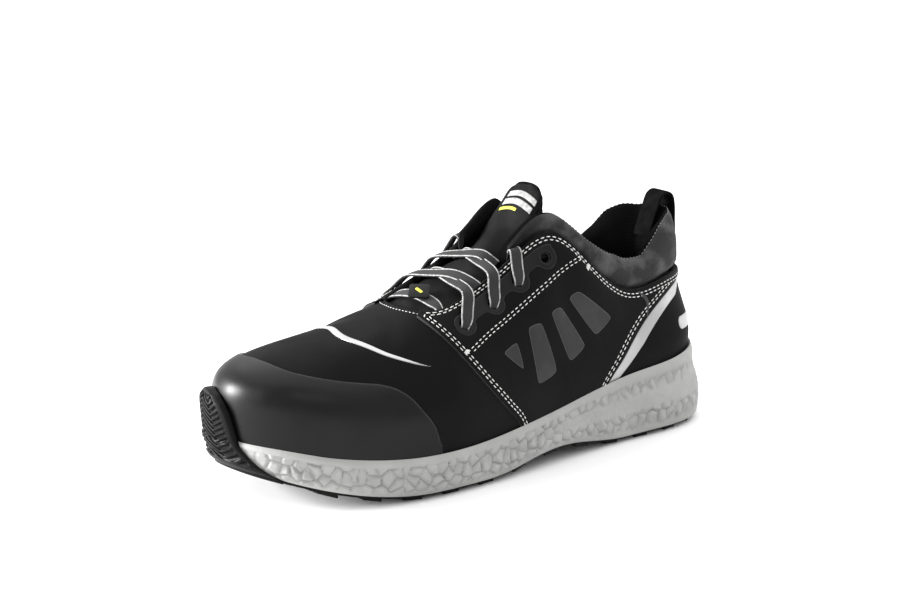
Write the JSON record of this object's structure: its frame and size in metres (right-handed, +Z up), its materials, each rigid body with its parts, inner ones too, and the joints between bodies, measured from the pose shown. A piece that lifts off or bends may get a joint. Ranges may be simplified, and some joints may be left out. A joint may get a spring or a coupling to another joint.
{
  "type": "safety sneaker",
  "caption": "Low lace-up safety sneaker with hollow upper, toe cap, side panels, padded tongue and collar, foam midsole and lugged outsole with toe guard, left shoe.",
  "frame": {"origin": "centre of the shoe's overall box in plan, at floor level", "axes": "+X from heel to toe, +Y to the shoe's outer side, which is the wearer's left, +Z up"},
  "size_m": [0.2982, 0.1064, 0.1355],
  "materials": {
    "upper_microfibre": "near-black fine-grained microfibre, satin",
    "toe_cap_microfibre": "near-black smooth coated overlay, glossier than the side panels",
    "midsole_foam": "light grey moulded foam, matt",
    "outsole_rubber": "black rubber, matt",
    "cuff_fabric": "dark grey mottled padded fabric with a black lining",
    "lining_fabric": "black knitted lining and insole cover",
    "tongue_fabric": "black padded textile with a coated top",
    "lace_webbing": "black flat woven lace and webbing with fine pale edge lines",
    "tag_rubber": "black moulded tag with a small yellow bar"
  },
  "bodies": {
    "root": {"upper": "upper_microfibre", "toe_cap": "toe_cap_microfibre", "quarter_outer": "upper_microfibre", "quarter_inner": "upper_microfibre", "midsole": "midsole_foam", "outsole": "outsole_rubber", "insole": "lining_fabric", "tongue": "tongue_fabric", "collar_cuff": "cuff_fabric", "pull_loop": "lace_webbing", "lace_bar": "lace_webbing", "lace_cross_lower": "lace_webbing", "lace_cross_upper": "lace_webbing", "lace_fall_outer": "lace_webbing", "lace_fall_inner": "lace_webbing", "lace_tag": "tag_rubber"}
  },
  "joints": []
}
